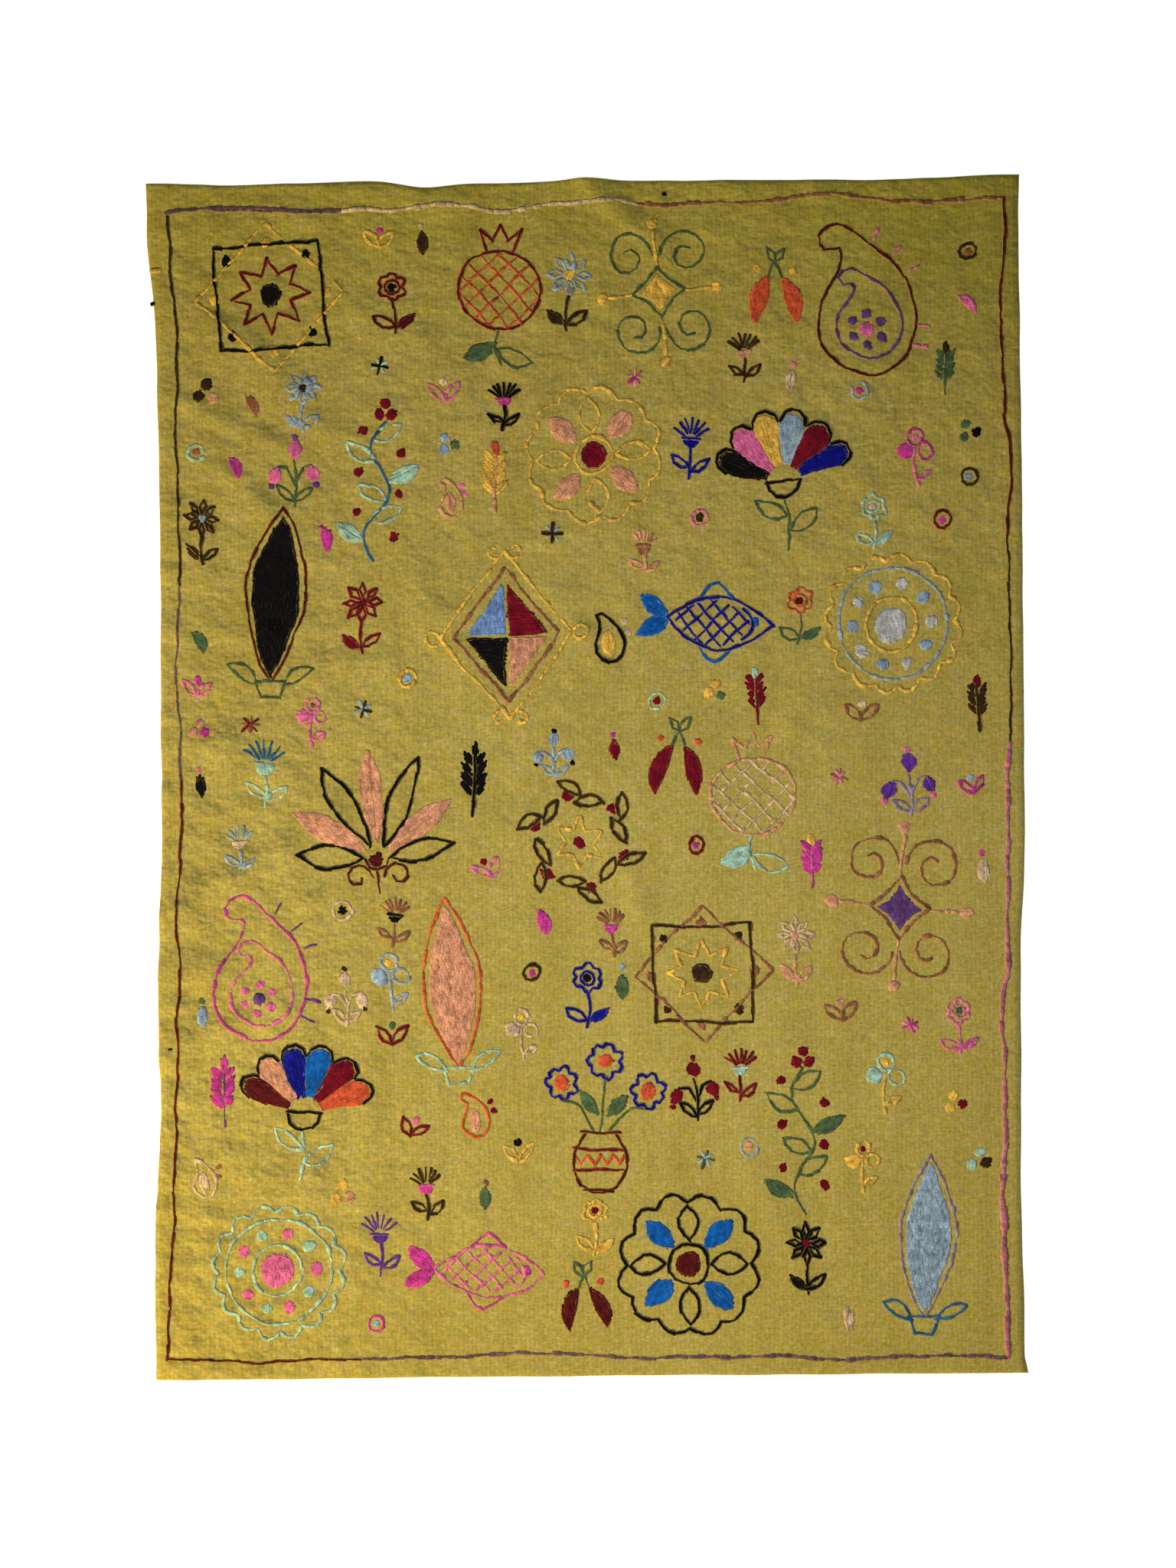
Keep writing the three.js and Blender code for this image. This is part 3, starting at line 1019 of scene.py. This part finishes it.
# Sprigs between them, in the same order
sprigRows = [
    [poppySprig("maroon", "crimson", "black"), daisySprig("umber", "slate", "gold"),
     pepperPair("orange", "moss", "gold")],
    [bellSprig("moss", "pink", "plum"), wheatEar("salmon", "gold", "orange"),
     thistleSprig("navy", "navy", "navy"), cloverSprig("pink", "magenta", "pink")],
    [daisySprig("crimson", "crimson", "maroon"), smallBoteh("black", "gold", "peach"),
     poppySprig("moss", "orange", "maroon")],
    [thistleSprig("mint", "teal", "mint"), wheatEar("black", "black", "black"),
     pepperPair("crimson", "moss", "orange"), bellSprig("lavender", "violet", "pink")],
    [cloverSprig("slate", "slate", "gold"), poppySprig("navy", "navy", "black"),
     daisySprig("salmon", "peach", "salmon")],
    [wheatEar("plum", "magenta", "magenta"), smallBoteh("orange", "salmon", "crimson"),
     bellSprig("black", "crimson", "crimson"), cloverSprig("gold", "mint", "gold")],
    [thistleSprig("violet", "violet", "violet"), pepperPair("maroon", "moss", "orange"),
     daisySprig("black", "black", "crimson")],
]
# Small sprigs and fillers go between the rows, taking turns
sprigKinds = [bellSprig, poppySprig, wheatEar, cloverSprig, daisySprig, thistleSprig, smallBoteh]
fillerKinds = [ringDot, threeDots, tear, crosslet, leafPair, comma]
freeYarns = ["crimson", "black", "pink", "mint", "brown", "salmon", "umber",
             "slate", "gold", "magenta", "moss", "peach"]


# Motifs are spaced out: each pair whose boxes overlap moves apart along the shorter way,
# again and again, and none leaves the field
def setOut(places, halves):
    field = np.array(design["field"]) - halves
    for _ in range(design["rounds"]):
        gap = places[:, None] - places[None]
        over = halves[:, None] + halves[None] + design["margin"] - np.abs(gap)
        clash = (over > 0).all(-1) & ~np.eye(len(places), dtype=bool)
        shorter = np.arange(2) == over.argmin(-1)[..., None]
        push = np.where(clash[..., None] & shorter, over * np.sign(gap), 0)
        places = np.clip(places + design["give"] * push.sum(1), -field, field)
    touching = (over - design["margin"] > 0).all(-1).sum() - len(places)
    print(f"motifs set out: {len(places)}, boxes that touch: {touching // 2}")
    return places


# The point of a coarse grid over the field that is farthest from every motif's box
def widestGap(places, halves):
    levels = [np.arange(-side + room, side - room + 1, design["extraStep"])
              for side, room in zip(design["field"], design["extraRoom"])]
    spots = np.stack(np.meshgrid(*levels), -1).reshape(-1, 2)
    away = np.linalg.norm(np.maximum(np.abs(spots[:, None] - places) - halves, 0), axis=-1).min(1)
    return spots[away.argmax()]


# Rows of large motifs and sprigs, then small sprigs and fillers in turn between the rows, all moved apart,
# and at last fillers in the widest gaps
def drawDesign():
    motifs, places = [], []
    step, row = design["columnStep"], design["rowStep"]

    def put(strokes, x, y, size):
        turn = hand.uniform(-1, 1) * design["turn"]
        motifs.append(fitted(strokes, turn, size * (1 + hand.uniform(-1, 1) * design["sizeSpread"])))
        places.append(np.array([x, y]) + hand.uniform(-1, 1, 2) * design["jitter"])

    for k, (large, sprigs) in enumerate(zip(largeRows, sprigRows)):
        for i, strokes in enumerate(large):
            put(strokes, (2 * i - len(large) + 1) * step, (3 - k) * row, design["largeSize"])
        for i, strokes in enumerate(sprigs):
            put(strokes, (2 * i - len(sprigs) + 1) * step, (3 - k) * row, design["sprigSize"])
    for k in range(6):
        for i in range(8):
            kinds = sprigKinds if (i + k) % 2 else fillerKinds
            kind = kinds[int(hand.integers(len(kinds)))]
            chosen = hand.choice(freeYarns, 2, replace=False)
            strokes = kind(chosen[0], chosen[0], chosen[1]) if (i + k) % 2 else kind(*chosen)
            size = design["smallSprigSize"] if (i + k) % 2 else 1.0
            put(strokes, (i - 3.5) * step, (2.5 - k) * row, size)
    places = setOut(np.array(places), np.array([half for _, half in motifs]))
    for k in range(design["extras"]):
        kind = fillerKinds[k % len(fillerKinds)]
        strokes = kind(*hand.choice(freeYarns, 2, replace=False))
        turn = hand.uniform(-design["extraTurn"], design["extraTurn"])
        filler = fitted(strokes, turn, design["extraSize"])
        places = np.vstack([places, widestGap(places, np.array([half for _, half in motifs]))])
        motifs.append(filler)
    return motifs, places


# The border line: one run of stitches round the cloth, its colour changing where a yarn ran out.
# Yarns, weights and points from the top left corner, clockwise
borderRuns = [
    ("dusk", 1.25, [(-542, 738), (-511, 743), (-479, 747), (-400, 745), (-314, 743)]),
    ("dusk", 1.25, [(-490, 745), (-430, 744), (-375, 743), (-318, 742)]),  # worked twice here
    ("peach", 1.4, [(-314, 742), (-279, 744), (-249, 742), (-186, 747), (-136, 747), (-98, 741),
                    (-45, 748), (32, 753), (73, 745)]),
    ("brown", 1.3, [(73, 745), (104, 747), (137, 749), (204, 749), (279, 754), (330, 757), (404, 749),
                    (479, 750), (550, 750)]),
    ("chestnut", 1.1, [(550, 750), (547, 661), (545, 611), (548, 511), (547, 471), (554, 423),
                       (552, 311)]),
    ("umber", 0.7, [(552, 311), (553, 211), (552, 111), (551, 42)]),
    ("mauve", 1.1, [(551, 42), (549, -9), (549, -89), (545, -139), (546, -249), (541, -289),
                    (540, -429)]),
    ("mauve", 1.25, [(540, -429), (538, -529), (540, -629), (541, -694), (540, -763)]),
    ("dusk", 1.15, [(540, -762), (466, -760), (407, -758), (346, -761), (298, -762), (201, -758),
                    (86, -757), (-1, -757)]),
    ("dusk", 1.05, [(-1, -757), (-39, -753), (-86, -750), (-134, -752), (-189, -754), (-254, -757),
                    (-300, -758)]),
    ("chestnut", 0.75, [(-300, -758), (-374, -757), (-444, -758), (-514, -756), (-555, -756)]),
    ("chestnut", 0.9, [(-555, -756), (-552, -720), (-549, -620), (-544, -520), (-539, -430),
                       (-538, -370), (-540, -320)]),
    ("chestnut", 0.95, [(-540, -320), (-536, -255), (-536, -165), (-531, -80), (-532, 0)]),
    ("dusk", 0.85, [(-532, 0), (-532, 60), (-534, 165), (-531, 255)]),
    ("umber", 0.8, [(-531, 255), (-532, 320), (-531, 420), (-534, 475), (-531, 520), (-534, 600),
                    (-539, 680), (-542, 738)]),
    ("gold", 1.0, [(-566, 667), (-551, 668)]),  # a loose end at the left edge
]
darkNeps = [(-563, 625), (-547, -352), (105, 759)]  # specks of dark wool caught in the cloth


# The border goes in before the motifs
def workBorder():
    for yarn, weight, points in borderRuns:
        embroider([line(soft(points), yarn, weight)])
    for x, y in darkNeps:
        embroider([line([(-2, 0), (2, 1)], "black")], x, y)


workBorder()
for (motif, _), (motifX, motifY) in zip(*drawDesign()):
    embroider(motif, motifX, motifY)


# One stitch is a strand laid from point to point: t runs along it from 0 to 1. Its half width is the
# yarn's, times a tip share plus the rest of 1 - |2t - 1| cubed. Its middle dips under the face at both
# ends and rises by a sine between them, and its section is a flattened ring
strand = {
    "rings": (0.0, 0.16, 0.5, 0.84, 1.0),
    "sides": 6,
    "tip": 0.78,  # width of the ends, as a share of the middle's
    "shortest": 0.5,
    "lay": 0.1,  # how far a strand lies above the face
    "sink": 0.20,  # depth of the ends and height of the middle, as shares of the width times the relief
    "rise": 0.24,
    "hairs": 1.28,  # the loose hairs at its sides make a strand this much wider
    "bow": 0.05,  # sideways bend, as a share of the length
    "twist": 1.9,  # length of one turn of the ply, as a multiple of the width
}


# Wool yarn of two plies: matt and hairy, with painted shade in the slanting grooves where the plies turn, an
# uneven, worn dye, and thin sides where the cloth shows between the hairs
yarnWool = {
    "fibre": 1.6,  # clumps of hairs
    "worn": 9.0,  # worn and dirty stretches
    "plyGrooveShade": (0.88, 1.08),  # painted shade in the grooves between the plies, and the tone on them
    "fibreTone": 0.9,
    "wornTone": 2.0,
    "shadeTone": 0.13,  # from stitch to stitch
    "fibreRagged": 0.9,  # how far hairs and wear shift the edge where the cloth begins to show
    "wornRagged": 0.5,
    "sides": (1.2, 1.75),  # from where that edge begins to where it ends
    "thin": 0.75,  # most that the cloth shows through at the sides of a strand in a line
    "thinInPatch": 0.06,  # and in a patch
    "plyHeight": 0.4,
    "plyStrength": 0.3,
}


def makeYarn(name, hexColour):
    s = yarnWool
    material, tree = startMaterial("wool yarn " + name)
    strandPlace = addNode(tree, "UVMap", {"uv_map": "strand"})
    shade = addNode(tree, "Attribute", {"attribute_name": "shade"}).outputs["Fac"]
    loose = addNode(tree, "Attribute", {"attribute_name": "loose"}).outputs["Fac"]
    place = addNode(tree, "TexCoord").outputs["Object"]
    fibre, worn = [addNode(tree, "TexNoise", None,
                           {"Vector": place, "Scale": 1 / s[key] / mm, "Detail": detail, "Roughness": 0.6})
                   for key, detail in (("fibre", 2.0), ("worn", 3.0))]
    # the slanting bands repeat every half turn, and a diagonal wave of scale 1 repeats every pi / 5
    ply = addNode(tree, "TexWave", {"bands_direction": "DIAGONAL"},
                  {"Vector": strandPlace, "Scale": math.pi / 5 / 0.5, "Distortion": 1.2, "Detail": 1.0})
    # painted shade: the ply wave darkens the colour in the grooves between the plies
    level = addNode(tree, "MapRange", None,
                    {"Value": ply.outputs["Fac"], "To Min": s["plyGrooveShade"][0], "To Max": s["plyGrooveShade"][1]})
    dyeAndGrooveShade = addNode(tree, "Math", {"operation": "MULTIPLY_ADD"},
                  {0: shade, 1: s["shadeTone"], 2: level})
    # hairs and wear multiply the dye by 1 + tone * (pattern - 0.5)
    for pattern, tone in ((fibre, s["fibreTone"]), (worn, s["wornTone"])):
        gain = addNode(tree, "Math", {"operation": "MULTIPLY_ADD"},
                       {0: pattern, 1: tone, 2: 1 - tone / 2})
        dyeAndGrooveShade = addNode(tree, "Math", {"operation": "MULTIPLY"}, {0: dyeAndGrooveShade, 1: gain})
    yarnColourAndShade = addNode(tree, "VectorMath", {"operation": "SCALE"},
                   {0: linear(hexColour)[:3], "Scale": dyeAndGrooveShade})
    # how far off the strand's middle: the size of the cosine of the way round, ragged by hairs and wear
    around = addNode(tree, "SeparateXYZ", None, {"Vector": strandPlace})
    angle = addNode(tree, "Math", {"operation": "MULTIPLY"}, {0: around, 1: 2 * math.pi})
    off = addNode(tree, "Math", {"operation": "COSINE"}, {0: angle})
    off = addNode(tree, "Math", {"operation": "ABSOLUTE"}, {0: off})
    for pattern, share in ((fibre, s["fibreRagged"]), (worn, s["wornRagged"])):
        off = addNode(tree, "Math", {"operation": "MULTIPLY_ADD"}, {0: pattern, 1: share, 2: off})
    thin = addNode(tree, "MapRange", None,
                   {"Value": off, "From Min": s["sides"][0], "From Max": s["sides"][1],
                    "To Min": 0.0, "To Max": loose})
    # sockets of the colour mix: 0 is its share, 6 and 7 its colours, and its output is 2
    colour = addNode(tree, "Mix", {"data_type": "RGBA"},
                     {0: thin, 6: yarnColourAndShade, 7: linear(woolCloth["ground"])}).outputs[2]
    bump = addNode(tree, "Bump", None,
                   {"Strength": s["plyStrength"], "Distance": s["plyHeight"] * mm,
                    "Height": ply.outputs["Fac"]})
    shader = addNode(tree, "BsdfPrincipled", None,
                     {"Base Color": colour, "Roughness": 0.9, "Specular IOR Level": 0.1, "Normal": bump})
    addNode(tree, "OutputMaterial", None, {"Surface": shader})
    return material


# All stitches of one yarn as one mesh: every strand is the same small grid of rings and sides
def makeStitches(name, stitches):
    t = np.array(strand["rings"])
    sides = strand["sides"]
    count, ringCount = len(stitches), len(t)
    start, way = stitches[:, :2], stitches[:, 2:4] - stitches[:, :2]
    width, shade, relief = stitches[:, 4] * strand["hairs"], stitches[:, 5], stitches[:, 6]
    length = np.maximum(np.hypot(way[:, 0], way[:, 1]), strand["shortest"])
    side = np.stack([-way[:, 1], way[:, 0]], -1) / length[:, None]
    arch = np.sin(np.pi * t)
    half = width[:, None] / 2 * (strand["tip"] + (1 - strand["tip"]) * (1 - np.abs(2 * t - 1) ** 3))
    bow = strand["bow"] * length[:, None] * shade[:, None] / 2 * arch
    middle = start[:, None] + way[:, None] * t[:, None] + side[:, None] * bow[..., None]
    lift = strand["lay"] + (width * relief)[:, None] * (strand["rise"] * arch - strand["sink"] * (1 - arch))
    a = 2 * np.pi * np.arange(sides) / sides
    plan = middle[:, :, None] + side[:, None, None] * (half[..., None] * np.cos(a))[..., None]
    height = lift[..., None] + (relief[:, None] * half)[..., None] * np.sin(a)
    height = height + faceHeight(plan[..., 0], plan[..., 1])
    points = np.concatenate([plan, height[..., None]], -1).reshape(-1, 3)

    ring, around = np.meshgrid(np.arange(ringCount - 1), np.arange(sides), indexing="ij")
    ring, around = ring.ravel(), around.ravel()
    onward = (around + 1) % sides
    quads = np.stack([ring * sides + around, ring * sides + onward, (ring + 1) * sides + onward,
                      (ring + 1) * sides + around], -1).ravel()
    lastRing = (ringCount - 1) * sides
    corners = np.concatenate([quads, np.arange(sides)[::-1], lastRing + np.arange(sides)])
    faceSizes = np.concatenate([np.full(len(ring), 4), [sides, sides]])
    allCorners = corners + ringCount * sides * np.arange(count)[:, None]
    material = makeYarn(name, yarns[name][0])
    piece = makePiece("stitches_" + name, points, allCorners, np.tile(faceSizes, count), material)

    # the strand's own map: once round the yarn, and along it in turns of the ply
    u = np.concatenate([np.stack([around, around + 1, around + 1, around], -1).ravel(),
                        np.arange(sides)[::-1], np.arange(sides)]) / sides
    along = length[:, None] * t[corners // sides] / (strand["twist"] * width[:, None])
    uv = np.stack([np.broadcast_to(u, along.shape), along], -1)
    layer = piece.data.uv_layers.new(name="strand")
    layer.uv.foreach_set("vector", uv.astype(np.float32).ravel())
    loose = np.where(relief == needle["patchRelief"], yarnWool["thinInPatch"], yarnWool["thin"])
    for key, values in (("shade", shade), ("loose", loose)):
        layer = piece.data.attributes.new(key, "FLOAT", "POINT")
        layer.data.foreach_set("value", np.repeat(values, ringCount * sides).astype(np.float32))
    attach(piece, "root")
    return piece


stitchCount = 0
for yarnName, runs in worked.items():
    rows = np.concatenate(runs)
    makeStitches(yarnName, rows)
    stitchCount += len(rows)
    print(f"stitches {yarnName}: {len(rows)}")
print(f"stitches in all: {stitchCount}")


# Studio: a white floor, a cool soft light above, a warm one that rakes from the lower left, an even fill,
# and a camera straight above

studio = {
    "floorSize": 14.0,  # metres
    "floorColour": "#f4f4f2",
    "floorGlow": 0.8,
    "floorDrop": 0.3,  # millimetres below the cloth
    # lights: place, aim, size, watts, colour
    "key": ((0.0, -0.2, 1.2), (0.0, -0.2, 0.0), 1.2, 13.4, (0.50, 0.59, 1.0)),
    "rake": ((-2.4, -2.1, 1.15), (0.0, 0.0, 0.0), 0.7, 168.0, (1.0, 0.81, 0.33)),  # grazes the folds
    "fillColour": (1.0, 1.0, 0.8, 1.0),
    "fillStrength": 0.17,
    "lens": 60.0,
    "sensor": 36.0,
    "frameHeight": 2048.0,  # millimetres of the cloth's plane that the picture is high
    "aim": (0.4, -8.5),  # where the picture's middle falls on the cloth
    "roll": -0.5,  # degrees: the cloth lies slightly turned in the picture
}


# A square of matt paper under the cloth, lit so that it stays plain white
def makeFloor():
    half = studio["floorSize"] / 2 / mm
    corners = np.array([(-half, -half), (half, -half), (half, half), (-half, half)])
    points = np.column_stack([corners, np.full(4, -studio["floorDrop"])])
    material, tree = startMaterial("white paper")
    white = linear(studio["floorColour"])
    shader = addNode(tree, "BsdfPrincipled", None,
                     {"Base Color": white, "Roughness": 0.9, "Emission Color": white,
                      "Emission Strength": studio["floorGlow"]})
    addNode(tree, "OutputMaterial", None, {"Surface": shader})
    floor = makePiece("floor", points, np.arange(4), np.array([4]), material)


# Two round lamps and an even fill from all sides
def makeLights():
    for name in ("key", "rake"):
        place, aim, size, watts, colour = studio[name]
        light = bpy.data.lights.new(name, "AREA")
        light.shape = "DISK"
        light.size = size
        light.energy = watts
        light.color = colour
        lamp = bpy.data.objects.new(name, light)
        lamp.location = place
        lamp.rotation_euler = (Vector(aim) - Vector(place)).to_track_quat("-Z", "Y").to_euler()
        bpy.context.scene.collection.objects.link(lamp)
    world = bpy.data.worlds.new("fill")
    world.use_nodes = True
    world.node_tree.nodes["Background"].inputs["Color"].default_value = studio["fillColour"]
    world.node_tree.nodes["Background"].inputs["Strength"].default_value = studio["fillStrength"]
    bpy.context.scene.world = world


# The picture is as high as the frame on the cloth's plane: distance = that height * lens / sensor
def makeCamera():
    lens = bpy.data.cameras.new("camera")
    lens.lens = studio["lens"]
    lens.sensor_width = studio["sensor"]
    camera = bpy.data.objects.new("camera", lens)
    distance = studio["frameHeight"] * mm * studio["lens"] / lens.sensor_width
    camera.location = (studio["aim"][0] * mm, studio["aim"][1] * mm, distance)
    camera.rotation_euler = (0, 0, math.radians(studio["roll"]))
    bpy.context.scene.collection.objects.link(camera)
    bpy.context.scene.camera = camera


makeFloor()
makeLights()
makeCamera()
bpy.context.scene.view_settings.view_transform = "Standard"
print("studio: floor, two lights, fill and camera")
